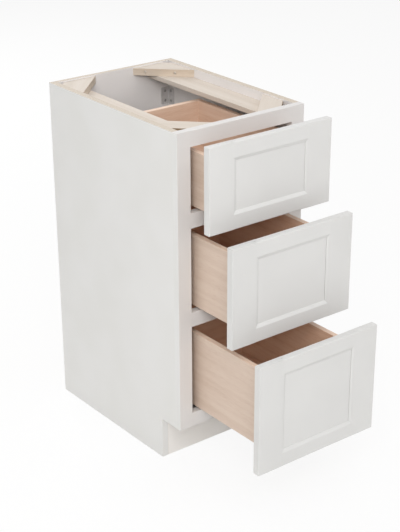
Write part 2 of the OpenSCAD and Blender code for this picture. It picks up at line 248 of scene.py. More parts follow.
def along(axis: Axis, length: float, width: float) -> list[float]:
    """Give sizes for the three axes: the length on the given one and the width on the others."""
    return [length if other is axis else width for other in Axis]


# Finishes


@dataclass(frozen=True)
class SprayedEnamel:
    """Satin enamel, sprayed on sanded hardwood and fibreboard.

    The eye sees an even off-white with a soft sheen and a very slight orange peel, and no grain.
    """

    name: str
    colour: str
    shade: str
    peel_mm: float = 2.2
    peel_depth_mm: float = 0.012
    drift_mm: float = 140.0
    tones_at: Point = (0.35, 0.65)
    roughness: float = 0.42
    ior: float = 1.5

    def mix(self) -> bpy.types.Material:
        """Mix the material.

        Returns:
            The finished material.
        """
        recipe = Recipe(self.name)
        peel = recipe.pattern([self.peel_mm] * 3, SOFT)
        drift = recipe.pattern([self.drift_mm] * 3, SMOOTH)
        stops = (self.tones_at, (self.shade, self.colour))
        colour = recipe.add("ValToRGB", "Color", links={"Fac": drift}, stops=stops)
        return recipe.finish(colour, peel, self.peel_depth_mm, roughness=self.roughness, ior=self.ior)


@dataclass(frozen=True)
class PlanedWood:
    """Planed and sanded hardwood, bare or under clear lacquer.

    The eye sees long fine fibres, slow bands of paler and warmer growth, and a few short darker pores.
    """

    name: str
    pale: str
    warm: str
    deep: str
    grain: Axis
    yaw: float = 0.0
    fibre_mm: float = 1.3
    band_mm: float = 16.0
    pore_mm: float = 0.8
    stretch: float = 22.0
    fibre_share: float = 0.4
    fibre_depth_mm: float = 0.02
    tones_at: Place = (0.36, 0.47, 0.6)
    pore: str = "#ecdfd4"
    pores_at: Point = (0.66, 0.78)
    roughness: float = 0.55
    ior: float = 1.5
    lacquer: float = 0.0
    lacquer_roughness: float = 0.35

    def mix(self) -> bpy.types.Material:
        """Mix the material.

        Returns:
            The finished material.
        """
        recipe = Recipe(self.name)
        fibre, band, pore = (
            recipe.pattern(along(self.grain, width * self.stretch, width), detail, self.yaw)
            for width, detail in ((self.fibre_mm, FINEST), (self.band_mm, FINE), (self.pore_mm, SMOOTH))
        )
        figure = recipe.add("Mix", "Result", {"Factor": self.fibre_share}, {"A": band, "B": fibre})
        stops = (self.tones_at, (self.deep, self.warm, self.pale))
        ground = recipe.add("ValToRGB", "Color", links={"Fac": figure}, stops=stops)
        stops = (self.pores_at, (WHITE, self.pore))
        pores = recipe.add("ValToRGB", "Color", links={"Fac": pore}, stops=stops)
        colour = recipe.add("Mix", MIX_OUT, {"Factor": 1.0}, {MIX_A: ground, MIX_B: pores}, **MULTIPLY)
        return recipe.finish(
            colour, fibre, self.fibre_depth_mm, roughness=self.roughness, ior=self.ior,
            coat_weight=self.lacquer, coat_roughness=self.lacquer_roughness
        )


@dataclass(frozen=True)
class SawnEnd:
    """Hardwood cut across its grain, such as the end of a rail or of a dovetail.

    The eye sees a darker, rougher surface with close dots of cut fibres.
    """

    name: str
    pale: str
    deep: str
    dot_mm: float = 1.1
    ring_mm: float = 7.0
    dot_share: float = 0.5
    dot_depth_mm: float = 0.05
    tones_at: Point = (0.38, 0.58)
    roughness: float = 0.7
    ior: float = 1.5

    def mix(self) -> bpy.types.Material:
        """Mix the material.

        Returns:
            The finished material.
        """
        recipe = Recipe(self.name)
        dots = recipe.pattern([self.dot_mm] * 3, FINE)
        rings = recipe.pattern([self.ring_mm] * 3, SOFT)
        figure = recipe.add("Mix", "Result", {"Factor": self.dot_share}, {"A": rings, "B": dots})
        stops = (self.tones_at, (self.deep, self.pale))
        colour = recipe.add("ValToRGB", "Color", links={"Fac": figure}, stops=stops)
        return recipe.finish(colour, dots, self.dot_depth_mm, roughness=self.roughness, ior=self.ior)


@dataclass(frozen=True)
class PlywoodEdge:
    """The sawn edge of plywood.

    The eye sees thin layers that are pale and darker in turn, as their grain runs along the edge or into it.
    The layers are 2.6 mm where real ones are 1.6 mm, which is too fine to show in the render.
    """

    name: str
    pale: str
    deep: str
    layers: Axis
    layer_mm: float = 2.6
    fibre_mm: float = 0.9
    stretch: float = 9.0
    fibre_depth_mm: float = 0.06
    tones_at: Point = (0.42, 0.58)
    grime: str = "#f1ebe4"
    grime_at: Point = (0.4, 0.6)
    roughness: float = 0.7
    ior: float = 1.5

    def mix(self) -> bpy.types.Material:
        """Mix the material.

        Returns:
            The finished material.
        """
        recipe = Recipe(self.name)
        fibre = recipe.pattern(along(self.layers, self.fibre_mm, self.fibre_mm * self.stretch), FINE)
        scale, place = {"Scale": [MM] * 3}, {"Vector": recipe.place}
        millimetres = recipe.add("Mapping", "Vector", scale, place, vector_type="TEXTURE")
        depth = recipe.add("SeparateXYZ", self.layers.value, links={"Vector": millimetres})
        layer = recipe.add("Math", "Value", {1: self.layer_mm}, {0: depth}, operation="PINGPONG")
        share = recipe.add("Math", "Value", {1: self.layer_mm}, {0: layer}, operation="DIVIDE")
        stops = (self.tones_at, (self.pale, self.deep))
        stripes = recipe.add("ValToRGB", "Color", links={"Fac": share}, stops=stops)
        stops = (self.grime_at, (self.grime, WHITE))
        grime = recipe.add("ValToRGB", "Color", links={"Fac": fibre}, stops=stops)
        colour = recipe.add("Mix", MIX_OUT, {"Factor": 1.0}, {MIX_A: stripes, MIX_B: grime}, **MULTIPLY)
        return recipe.finish(colour, fibre, self.fibre_depth_mm, roughness=self.roughness, ior=self.ior)


@dataclass(frozen=True)
class ZincPlatedSteel:
    """Cold rolled steel strip or wire, pressed and zinc plated.

    The eye sees a pale blue-grey metal with faint rolling lines and soft clouds in its sheen.
    """

    name: str
    colour: str
    shade: str
    roughness: float
    rolled: Axis = Axis.DEPTH
    line_mm: float = 0.6
    stretch: float = 40.0
    cloud_mm: float = 9.0
    line_share: float = 0.3
    line_depth_mm: float = 0.01
    tones_at: Point = (0.35, 0.62)

    def mix(self) -> bpy.types.Material:
        """Mix the material.

        Returns:
            The finished material.
        """
        recipe = Recipe(self.name)
        lines = recipe.pattern(along(self.rolled, self.line_mm * self.stretch, self.line_mm), FINE)
        clouds = recipe.pattern([self.cloud_mm] * 3, FINE)
        figure = recipe.add("Mix", "Result", {"Factor": self.line_share}, {"A": clouds, "B": lines})
        stops = (self.tones_at, (self.shade, self.colour))
        colour = recipe.add("ValToRGB", "Color", links={"Fac": figure}, stops=stops)
        return recipe.finish(colour, lines, self.line_depth_mm, roughness=self.roughness, metallic=1.0)


@dataclass(frozen=True)
class MouldedPlastic:
    """Injection moulded nylon or acetal with a fine spark-eroded texture.

    The eye sees a plain dull colour with a close grain that breaks up the highlight.
    """

    name: str
    colour: str
    shade: str
    roughness: float = 0.5
    ior: float = 1.53
    spark_mm: float = 0.5
    spark_depth_mm: float = 0.02
    drift_mm: float = 30.0
    tones_at: Point = (0.35, 0.65)

    def mix(self) -> bpy.types.Material:
        """Mix the material.

        Returns:
            The finished material.
        """
        recipe = Recipe(self.name)
        spark = recipe.pattern([self.spark_mm] * 3, FINE)
        drift = recipe.pattern([self.drift_mm] * 3, SMOOTH)
        stops = (self.tones_at, (self.shade, self.colour))
        colour = recipe.add("ValToRGB", "Color", links={"Fac": drift}, stops=stops)
        return recipe.finish(colour, spark, self.spark_depth_mm, roughness=self.roughness, ior=self.ior)


class PaintShop:
    """Every material of the cabinet, made once."""

    def __init__(self) -> None:
        """Mix the materials."""
        # The enamel's tone differs a little from part to part, and its peel is coarser on the panels. The toe
        # board's and the case's inside tones are painted lighter: painted light for the shaded recess and
        # inside
        peel = 3.0
        self.frame_enamel = SprayedEnamel("sprayed_enamel_frame", "#dfdcda", "#dcd9d7").mix()
        self.front_enamel = SprayedEnamel("sprayed_enamel_front", "#dcdbd9", "#d9d8d6").mix()
        self.panel_enamel = SprayedEnamel("sprayed_enamel_panel", "#e6e5e3", "#e3e2df", peel).mix()
        self.toe_enamel = SprayedEnamel("sprayed_enamel_toe", "#f4f1ee", "#f1eeea", peel).mix()
        self.inside_enamel = SprayedEnamel("sprayed_enamel_inside", "#ebe7e5", "#e8e4e2", peel).mix()
        self.birch = self.lacquered("birch", "#dbc7b6", "#d6c0af", "#d0b9a7")
        # The box walls' top and bottom edges are painted lighter and warmer than the faces: a painted
        # highlight of the lit top edges
        self.birch_edge = self.lacquered("birch_edge", "#edd3bf", "#e8ccb6", "#e0c1aa")
        # Each box's inside is painted warmer than its outside, and the middle and lower ones redder still:
        # painted light, for the light that the walls pass between them
        self.birch_inside = {
            Storey.UPPER: self.lacquered("birch_inside_upper", "#ddc4b1", "#d7bba6", "#ceae97"),
            Storey.MIDDLE: self.lacquered("birch_inside_middle", "#f0cab0", "#eac1a5", "#deb395"),
            Storey.LOWER: self.lacquered("birch_inside_lower", "#eccab1", "#e6c1a6", "#dab295"),
        }
        self.birch_end = SawnEnd("sawn_birch_end", "#cfb29d", "#c0a08a").mix()
        planed = ("#d9cfc4", "#d6cbbf", "#d0c5b8")
        poplar = {"band_mm": 24.0, "fibre_share": 0.25, "roughness": 0.62}
        self.poplar = PlanedWood("planed_poplar_depth", *planed, Axis.DEPTH, **poplar).mix()
        self.poplar_diagonal = self.diagonal("planed_poplar_diagonal", *planed, **poplar)
        sawn = ("#d8cab9", "#d1c1af", "#c7b5a1")
        rougher = poplar | {"roughness": 0.7}
        self.poplar_sawn = self.diagonal("sawn_poplar_diagonal", *sawn, **rougher)
        self.poplar_end = SawnEnd("sawn_poplar_end", "#cfc0ae", "#c0ae9a").mix()
        # The blocks' cut corners are painted dark brown: painted shade, so the eye sees a dark line behind
        # each block
        self.poplar_burnt = SawnEnd("saw_burnt_poplar", "#8e7559", "#7c654b").mix()
        self.plywood_edge = {
            axis: PlywoodEdge(f"plywood_edge_{axis.word}", "#d8cfc3", "#d1c7ba", axis).mix() for axis in Axis
        }
        bare = ("#ddcfbb", "#d6c6b0", "#cbb89f")
        self.plywood_face = PlanedWood("plywood_face", *bare, Axis.UP, band_mm=34.0).mix()
        self.zinc = ZincPlatedSteel("zinc_plated_steel", "#d3d5d6", "#c1c4c6", 0.55).mix()
        self.bracket_zinc = ZincPlatedSteel("zinc_plated_bracket", "#dfdddc", "#d5d3d2", 0.7).mix()
        self.screw_zinc = ZincPlatedSteel("zinc_plated_screw", "#b4b2b0", "#a09e9c", 0.38).mix()
        # The screws in the blocks are painted paler than the others: painted light against the shade of their
        # recesses
        self.bright_zinc = ZincPlatedSteel("bright_zinc_screw", "#e2ddd6", "#d2ccc4", 0.45).mix()
        self.nylon = MouldedPlastic("moulded_nylon", "#8b8e90", "#828587").mix()
        self.acetal = MouldedPlastic("moulded_acetal", "#e6e4dc", "#dcdad1", roughness=0.4).mix()

    def lacquered(self, name: str, *tones: str) -> dict[Axis, bpy.types.Material]:
        """Mix a lacquered wood.

        Args:
            name: what the wood is and where.
            tones: its pale, warm and deep tones.

        Returns:
            The wood with its grain across the cabinet, and with its grain from front to back.
        """
        return {
            axis: PlanedWood(
                f"lacquered_{name}_{axis.word}", *tones, axis, lacquer=0.15, roughness=0.5
            ).mix()
            for axis in (Axis.ACROSS, Axis.DEPTH)
        }

    def diagonal(self, name: str, *tones: str, **numbers: float) -> dict[Side, bpy.types.Material]:
        """Mix a wood whose grain lies level at 45 degrees.

        Args:
            name: the start of the material's name.
            tones: its pale, warm and deep tones.
            numbers: further fields of the planed wood.

        Returns:
            The wood turned to the left and to the right.
        """
        return {
            side: PlanedWood(
                f"{name}_{side.word}", *tones, Axis.ACROSS, side.value * math.pi / 4, **numbers
            ).mix()
            for side in Side
        }


# Meshes and pieces


@dataclass
class MeshPile:
    """Points and faces of one piece, collected part by part."""

    points: list[Vector] = field(default_factory=list)
    faces: list[tuple[int, ...]] = field(default_factory=list)
    finishes: list[int] = field(default_factory=list)

    def add(
        self,
        points: Sequence[Vector],
        faces: Sequence[Sequence[int]],
        finish: int = 0,
        place: Matrix | None = None,
    ) -> None:
        """Add a closed part.

        Args:
            points: the part's points.
            faces: the part's faces, as numbers of its points.
            finish: the number of the part's material.
            place: where the part goes.
        """
        place = place or Matrix.Identity(4)
        start = len(self.points)
        self.points += [place @ Vector(point) for point in points]
        self.faces += [tuple(start + number for number in face) for face in faces]
        self.finishes += [finish] * len(faces)

    def mesh(self, name: str) -> bpy.types.Mesh:
        """Make the mesh, with every part's faces turned outwards.

        Args:
            name: the mesh's name.

        Returns:
            The mesh.
        """
        mesh = bpy.data.meshes.new(name)
        mesh.from_pydata(self.points, [], self.faces)
        mesh.polygons.foreach_set("material_index", self.finishes)
        part = bmesh.new()
        part.from_mesh(mesh)
        bmesh.ops.recalc_face_normals(part, faces=part.faces)
        part.to_mesh(mesh)
        part.free()
        return mesh


class Workshop:
    """Knows each CAD node's body and material slot, and turns meshes into pieces."""

    def __init__(self, record: dict[str, Any]) -> None:
        """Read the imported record.

        Args:
            record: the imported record.
        """
        bodies = record["behaviour"]["bodies"]
        self.body_of = {node: body for body, nodes in bodies.items() for node in nodes}
        self.slot_of = {part["node"]: part["material_slot"] for part in record["subparts"]}

    def stock(self, node: str) -> bmesh.types.BMesh:
        """Copy a CAD node's mesh, with its points welded and its flat faces made whole.

        Args:
            node: the node's name.

        Returns:
            The copy.
        """
        part = bmesh.new()
        part.from_mesh(frame["nodes"][node].data)
        bmesh.ops.remove_doubles(part, verts=part.verts, dist=WELD)
        bmesh.ops.dissolve_limit(part, angle_limit=FLAT, verts=part.verts, edges=part.edges)
        part.normal_update()
        return part

    def solids(self, node: str) -> list[np.ndarray]:
        """Split a CAD node into its separate solids.

        Args:
            node: the node's name.

        Returns:
            One array of points for each solid, in the order of their lowest corners.
        """
        part = self.stock(node)
        found = []
        waiting = set(part.verts)
        while waiting:
            heap = [waiting.pop()]
            points = []
            while heap:
                vert = heap.pop()
                points.append(vert.co[:])
                near = {edge.other_vert(vert) for edge in vert.link_edges} & waiting
                waiting -= near
                heap += near
            found.append(np.array(sorted(points)))
        part.free()
        return sorted(found, key=lambda points: tuple(points.min(axis=0).round(WELD_PLACES)))

    def boxes(self, node: str) -> list[tuple[Vector, Vector]]:
        """Give the lowest and highest corners of each solid of a CAD node."""
        return [(Vector(points.min(axis=0)), Vector(points.max(axis=0))) for points in self.solids(node)]

    def deliver(
        self,
        name: str,
        mesh: bpy.types.Mesh,
        materials: Sequence[bpy.types.Material],
        *nodes: str,
        body: str | None = None,
        slot: str | None = None,
    ) -> None:
        """Turn a mesh into a piece that stands for CAD nodes, or that is added to a body.

        Args:
            name: the piece's name.
            mesh: its mesh, in the cabinet's frame.
            materials: its materials.
            nodes: the CAD nodes that it stands for, if any.
            body: the body that it rides on, where it stands for no node.
            slot: its material slot, where it stands for no node; not used.
        """
        piece = bpy.data.objects.new(name, mesh)
        bpy.context.scene.collection.objects.link(piece)
        for material in materials:
            mesh.materials.append(material)
        mesh.polygons.foreach_set("use_smooth", [True] * len(mesh.polygons))
        mesh.set_sharp_from_angle(angle=ARRIS)
        shading = piece.modifiers.new("weighted_normals", "WEIGHTED_NORMAL")
        shading.keep_sharp = True
        body = body or self.body_of[nodes[0]]
        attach(piece, body)
        if nodes:
            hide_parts(*nodes)
        LOG.info("%s: %d faces, rides on %s", name, len(mesh.polygons), body)


# Boards


@dataclass(frozen=True)
class Skin:
    """The materials of a board: on its two faces, along its edges and across its ends."""

    faces: bpy.types.Material
    edges: bpy.types.Material
    ends: bpy.types.Material


# The numbers of a board's materials
FACES, EDGES, ENDS, COAT = range(4)


@dataclass
class Board:
    """A board of the CAD frame with eased edges.

    Its easings are tried in turn: each has a radius in millimetres, a number of facets and a rule that says,
    from an edge's two ends, whether it is eased. What looks in a coated direction gets the coat's material.
    The board is cut through, with nothing taken off, where a rule ends in the middle of an edge.
    """

    node: str
    skin: Skin
    grain: Axis
    thickness: Axis
    easings: Sequence[Easing]
    cuts: Sequence[tuple[Axis, float]] = ()
    coated: Sequence[Vector] = ()
    coat: bpy.types.Material | None = None
    shortest: float = 5 * MM
    round_profile: float = 0.5

    def material_number(self, normal: Vector) -> int:
        """Tell which material a face gets from the way that it looks.

        Args:
            normal: the face's normal.

        Returns:
            The material's number.
        """
        if any(normal.dot(way) > ARRIS_COSINE for way in self.coated):
            return COAT
        axis = max(Axis, key=lambda other: abs(normal[other.value]))
        if axis is self.thickness:
            return FACES
        return ENDS if axis is self.grain else EDGES

    def build(self, shop: Workshop) -> None:
        """Build the board in place of its CAD node.

        Args:
            shop: the workshop.
        """
        part = shop.stock(self.node)
        for axis, height in self.cuts:
            normal = axis.way()
            geometry = part.verts[:] + part.edges[:] + part.faces[:]
            bmesh.ops.bisect_plane(part, geom=geometry, dist=WELD, plane_co=normal * height, plane_no=normal)
        for radius, facets, rule in self.easings:
            arrises = [
                edge for edge in part.edges
                if edge.is_manifold and edge.calc_face_angle() > ARRIS and edge.calc_length() > self.shortest
                and rule(edge.verts[0].co, edge.verts[1].co)
            ]
            bmesh.ops.bevel(
                part, geom=arrises, offset=radius * MM, segments=facets, profile=self.round_profile,
                affect="EDGES", clamp_overlap=True
            )
        part.normal_update()
        for face in part.faces:
            face.material_index = self.material_number(face.normal)
        mesh = bpy.data.meshes.new(self.node + "_board")
        part.to_mesh(mesh)
        part.free()
        materials = [self.skin.faces, self.skin.edges, self.skin.ends]
        if self.coat:
            materials.append(self.coat)
        shop.deliver(self.node + "_board", mesh, materials, self.node)


def any_edge(start: Vector, end: Vector) -> bool:
    """Choose every edge."""
    return True


def equally_deep(start: Vector, end: Vector) -> bool:
    """Choose the edges that run neither forwards nor backwards."""
    return abs(start.y - end.y) < WELD


def on_plane(axis: Axis, *places: float) -> EdgeRule:
    """Make a rule that chooses the edges that lie on one of some planes.

    Args:
        axis: the planes' normal.
        places: the planes' places on that axis.

    Returns:
        The rule.
    """
    def rule(start: Vector, end: Vector) -> bool:
        """Tell whether both ends lie on one of the planes."""
        number = axis.value
        return any(abs(start[number] - p) < WELD and abs(end[number] - p) < WELD for p in places)
    return rule


def between(axis: Axis, low: float, high: float) -> EdgeRule:
    """Make a rule that chooses the edges whose middle lies between two places on an axis."""
    number = axis.value
    return lambda start, end: low < (start[number] + end[number]) / 2 < high


def all_of(*rules: EdgeRule) -> EdgeRule:
    """Make a rule that chooses what all the given rules choose."""
    return lambda start, end: all(rule(start, end) for rule in rules)


def any_of(*rules: EdgeRule) -> EdgeRule:
    """Make a rule that chooses what at least one of the given rules chooses."""
    return lambda start, end: any(rule(start, end) for rule in rules)


# Sheet metal and turned parts


def left_of(start: Vector, end: Vector) -> Vector:
    """Give the unit vector on the left of the way from one point to another."""
    way = (end - start).normalized()
    return Vector((-way.y, way.x))


def round_corner(
    before: Vector, corner: Vector, after: Vector, radius: float, facets: int
) -> list[tuple[Vector, Vector]]:
    """Round one corner of a line.

    Args:
        before: the line's point before the corner.
        corner: the corner.
        after: the line's point after the corner.
        radius: the radius of the arc.
        facets: how many facets it has.

    Returns:
        The arc's points, each with the unit vector on the line's left there.
    """
    inwards = (corner - before).normalized()
    outwards = (after - corner).normalized()
    turn = math.atan2(inwards.cross(outwards), inwards.dot(outwards))
    left = left_of(before, corner)
    bend = math.copysign(radius, turn)
    centre = corner - inwards * radius * math.tan(abs(turn) / 2) + left * bend
    spins = [Matrix.Rotation(turn * number / facets, 2) for number in range(facets + 1)]
    return [(centre - spin @ left * bend, spin @ left) for spin in spins]


def rounded(corners: Sequence[Point], radius: float, facets: int = 4) -> list[Vector]:
    """Round every corner of an outline.

    Args:
        corners: the outline's corners.
        radius: the radius of the rounding.
        facets: how many facets each corner gets.

    Returns:
        The rounded outline's points.
    """
    spots = [Vector(corner) for corner in corners]
    outline = []
    for number, corner in enumerate(spots):
        after = spots[(number + 1) % len(spots)]
        outline += [point for point, _ in round_corner(spots[number - 1], corner, after, radius, facets)]
    return outline


def rectangle(left: float, right: float, near: float, far: float) -> list[Point]:
    """Give a rectangle's corners in order."""
    return [(left, near), (right, near), (right, far), (left, far)]


def spaced(start: float, end: float, count: int) -> list[float]:
    """Give the middles of equal steps from one place to another."""
    return [start + (end - start) * (number + 0.5) / count for number in range(count)]


def prism(outline: Sequence[Vector], low: float, high: float) -> Solid:
    """Raise an outline to a solid.

    Args:
        outline: the outline's points.
        low: the height of its lower face.
        high: the height of its upper face.

    Returns:
        The solid's points and faces.
    """
    count = len(outline)
    points = [Vector((spot.x, spot.y, height)) for height in (low, high) for spot in outline]
    faces = [list(range(count)), list(range(count, 2 * count))]
    faces += [[n, (n + 1) % count, (n + 1) % count + count, n + count] for n in range(count)]
    return points, faces


def revolve(profile: Sequence[Point], facets: int) -> Solid:
    """Turn a profile round the Z axis.

    Args:
        profile: radii and heights, from one end on the axis to the other end on the axis.
        facets: how many facets the solid has round the axis.

    Returns:
        The solid's points and faces.
    """
    points = [Vector((0.0, 0.0, profile[0][1]))]
    for radius, height in profile[1:-1]:
        turns = [math.tau * number / facets for number in range(facets)]
        points += [Vector((radius * math.cos(turn), radius * math.sin(turn), height)) for turn in turns]
    points.append(Vector((0.0, 0.0, profile[-1][1])))
    rings = len(profile) - 2
    last = len(points) - 1
    faces = []
    for n in range(facets):
        after = (n + 1) % facets
        faces.append([0, 1 + n, 1 + after])
        for ring in range(rings - 1):
            start = 1 + ring * facets
            faces.append([start + n, start + facets + n, start + facets + after, start + after])
        faces.append([last, last - facets + after, last - facets + n])
    return points, faces


@dataclass(frozen=True)
class Slot:
    """A punched slot with round ends that runs along the sheet; one as long as it is wide is a round hole."""

    across: float
    place: float
    length: float
    width: float
    facets: int = 6

    def outline(self) -> list[Vector]:
        """Draw the slot.

        Returns:
            The outline's points, in order.
        """
        reach = (self.length - self.width) / 2
        steps = self.facets + 1 if reach else self.facets
        radius = self.width / 2
        points = []
        for end in (0, 1):
            middle = Vector((self.across, self.place + (reach if end == 0 else -reach)))
            turns = [math.pi * (end + number / self.facets) for number in range(steps)]
            points += [middle + radius * Vector((math.cos(turn), math.sin(turn))) for turn in turns]
        return points

    def holds(self, spot: Vector) -> bool:
        """Tell whether a point lies in the slot."""
        beyond = max(abs(spot.y - self.place) - (self.length - self.width) / 2, 0.0)
        return math.hypot(spot.x - self.across, beyond) < self.width / 2


@dataclass
class FoldedSheet:
    """A punched blank of steel strip, folded along lines that run with its length.

    Its section is the line through the middle of its thickness, in X and Z, and its length runs along Y
    from 0. Slots lie on the flat blank, whose middle is at 0.
    """

    section: Sequence[Point]
    length: float
    thickness: float
    bend: float = 1.2 * MM
    corner: float = 1.0 * MM
    slots: Sequence[Slot] = ()
    facets: int = 3
    hairline: float = 0.0001 * MM

    def stations(self) -> np.ndarray:
        """Find the lines at which the sheet starts, turns and ends.

        Returns:
            For each line: its distance from the blank's middle, its place in X and Z, and the sheet's normal.
        """
        spots = [Vector(spot) for spot in self.section]
        steps = [(spots[0], left_of(spots[0], spots[1]))]
        for before, corner, after in zip(spots, spots[1:], spots[2:]):
            steps += round_corner(before, corner, after, self.bend, self.facets)
        steps.append((spots[-1], left_of(spots[-2], spots[-1])))
        places = np.array([place[:] for place, _ in steps])
        normals = np.array([normal[:] for _, normal in steps])
        strides = np.linalg.norm(np.diff(places, axis=0), axis=1)
        along_blank = np.concatenate([[0.0], np.cumsum(strides)])
        return np.column_stack([along_blank - along_blank[-1] / 2, places, normals])

    def punch(self, creases: Sequence[float], half: float) -> Solid:
        """Cut the flat blank with its slots.

        Args:
            creases: where the lines lie along which the blank will turn.
            half: half of the blank's width.

        Returns:
            The blank's points and triangles.
        """
        spots = rounded(rectangle(-half, half, 0.0, self.length), self.corner)
        face = list(range(len(spots)))
        edges = []
        for slot in self.slots:
            ring = slot.outline()
            edges += [(len(spots) + n, len(spots) + (n + 1) % len(ring)) for n in range(len(ring))]
            spots += ring
        for crease in creases:
            edges.append((len(spots), len(spots) + 1))
            spots += [Vector((crease, 0.0)), Vector((crease, self.length))]
        inside_only = 1
        flat, _, faces, *_ = delaunay_2d_cdt(spots, edges, [face], inside_only, self.hairline)
        kept = []
        for triangle in faces:
            middle = sum((flat[number] for number in triangle), Vector((0.0, 0.0))) / len(triangle)
            if not any(slot.holds(middle) for slot in self.slots):
                kept.append(list(triangle))
        return flat, kept

    def build(self) -> Solid:
        """Punch and fold the blank.

        Returns:
            The sheet's points and faces.
        """
        stations = self.stations()
        creases = stations[1:-1, 0]
        flat, faces = self.punch(creases, stations[-1, 0])
        spots = np.array([spot[:] for spot in flat])
        across, *columns = stations.T
        folded = np.column_stack([np.interp(spots[:, 0], across, column) for column in columns])
        points = []
        for share in (0.5, -0.5):
            layer = folded[:, :2] + folded[:, 2:] * self.thickness * share
            points += [Vector((x, y, z)) for (x, z), y in zip(layer, spots[:, 1])]
        count = len(flat)
        ways = {(a, b) for face in faces for a, b in zip(face, face[1:] + face[:1])}
        rims = sorted((a, b) for a, b in ways if (b, a) not in ways)
        shell = faces + [[number + count for number in reversed(face)] for face in faces]
        shell += [[b, a, a + count, b + count] for a, b in rims]
        return points, shell


def channel(
    width: float, height: float, length: float, thickness: float, slots: Sequence[Slot] = ()
) -> FoldedSheet:
    """Describe a folded channel that is open at the top.

    Args:
        width: its outside width.
        height: its outside height.
        length: its length.
        thickness: the sheet's thickness.
        slots: the slots in the blank.

    Returns:
        The folded sheet, with its floor's lower face at height 0.
    """
    wall = (width - thickness) / 2
    floor = thickness / 2
    section = [(-wall, height), (-wall, floor), (wall, floor), (wall, height)]
    return FoldedSheet(section, length, thickness, slots=slots)


def stand(x: float, y: float, z: float, side: float = 1.0) -> Matrix:
    """Place a sheet so that its length runs up and its section lies level, mirrored where side is -1."""
    return Matrix(((side, 0.0, 0.0, x), (0.0, 0.0, 1.0, y), (0.0, 1.0, 0.0, z), (0.0, 0.0, 0.0, 1.0)))


def row_of_slots(length: float, pitch: float, slot_length: float, slot_width: float) -> list[Slot]:
    """Space slots evenly along the middle of a blank.

    Args:
        length: the blank's length.
        pitch: the distance between two slots, about.
        slot_length: a slot's length.
        slot_width: a slot's width.

    Returns:
        The slots.
    """
    places = spaced(0.0, length, int(length // pitch))
    return [Slot(0.0, place, slot_length, slot_width) for place in places]


@dataclass(frozen=True)
class PanScrew:
    """A pan head screw with a cross recess. Its seat is at the origin and its shank runs along +Z."""

    head_radius: float = 3.8 * MM
    head_height: float = 2.0 * MM
    shank_radius: float = 1.75 * MM
    tip: float = 2.5 * MM
    tip_share: float = 0.15
    recess_radius: float = 2.0 * MM
    recess_half: float = 0.4 * MM
    recess_depth: float = 1.1 * MM
    crown_shares: tuple[float, ...] = (0.15, 0.3, 0.5, 0.64, 0.78, 0.9, 0.97, 1.0)
    rim_share: float = 0.3
    facets: int = 24

    def build(self, length: float) -> Solid:
        """Turn the screw and press the recess into its head.

        Args:
            length: the shank's length.

        Returns:
            The screw's points and faces.
        """
        crown = [
            (self.head_radius * share,
             -self.head_height * (self.rim_share + (1 - self.rim_share) * math.sqrt(1 - share * share)))
            for share in self.crown_shares
        ]
        shank = self.shank_radius
        profile = [(0.0, -self.head_height), *crown, (self.head_radius, 0.0), (shank, 0.0)]
        profile += [(shank, length - self.tip), (shank * self.tip_share, length), (0.0, length)]
        points, faces = revolve(profile, self.facets)
        for point in points:
            in_head = point.z < -self.head_height * self.rim_share
            in_reach = math.hypot(point.x, point.y) < self.recess_radius
            if in_head and in_reach and min(abs(point.x), abs(point.y)) < self.recess_half:
                point.z += self.recess_depth
        return points, faces

    def drive(
        self, pile: MeshPile, seat: Vector, way: Vector, length: float, turn: float, finish: int = 0
    ) -> None:
        """Add the screw to a piece.

        Args:
            pile: the piece's parts.
            seat: where the middle of the head's seat lies.
            way: the direction of the shank.
            length: the shank's length.
            turn: the screw's turn about its own axis.
            finish: the number of its material.
        """
        aim = way.to_track_quat("Z", "Y").to_matrix().to_4x4()
        place = Matrix.Translation(seat) @ aim @ Matrix.Rotation(turn, 4, "Z")
        pile.add(*self.build(length), finish, place)


# The carcass, its face frame and what braces it


@dataclass
class SubAssembly:
    """A part of the cabinet, with the workshop and the materials that it is made with."""

    shop: Workshop
    paints: PaintShop

    def board(
        self, node: str, skin: Skin, grain: Axis, thickness: Axis, easings: Sequence[Easing], **more: Any
    ) -> None:
        """Build a board, whose further fields may be given by name."""
        Board(node, skin, grain, thickness, easings, **more).build(self.shop)

    def piece(
        self, name: str, pile: MeshPile, materials: Sequence[bpy.types.Material], *nodes: str, **home: str
    ) -> None:
        """Make a piece of a pile of parts, which stands for nodes or has its body given by name; a slot given
        by name is not used.
        """
        self.shop.deliver(name, pile.mesh(name), materials, *nodes, **home)


@dataclass
class Carcass(SubAssembly):
    """The case: two side panels, back, floor and toe board, of white plywood with bare sawn edges."""

    easing: Ease = (0.5, 2)

    def panel(
        self, node: str, thickness: Axis, grain: Axis, face: bpy.types.Material,
        coated: Sequence[Vector] = (), coat: bpy.types.Material | None = None
    ) -> None:
        """Build one panel.

        Args:
            node: the panel's node.
            thickness: the axis through its thickness.
            grain: the axis of its face grain.
            face: the material of its faces.
            coated: the directions in which it has the coat instead, edges too.
            coat: the coat's material.
        """
        edge = self.paints.plywood_edge[thickness]
        easings = [(*self.easing, any_edge)]
        self.board(node, Skin(face, edge, edge), grain, thickness, easings, coated=coated, coat=coat)

    def build(self) -> None:
        """Build the five panels."""
        # The inside's and the toe board's enamels are painted lighter: painted light in the shaded case and
        # recess
        outside, inside, toe = self.paints.panel_enamel, self.paints.inside_enamel, self.paints.toe_enamel
        forwards, down = Axis.DEPTH.way(-1), Axis.UP.way(-1)
        for side in Side:
            shown = [Axis.ACROSS.way(side.value), forwards, down]
            self.panel(f"side_panel_{side.word}", Axis.ACROSS, Axis.UP, inside, shown, outside)
        self.panel("back_panel", Axis.DEPTH, Axis.UP, self.paints.plywood_face, [forwards], inside)
        self.panel("floor_panel", Axis.UP, Axis.DEPTH, inside)
        self.panel("toe_board", Axis.DEPTH, Axis.ACROSS, toe, [down], toe)


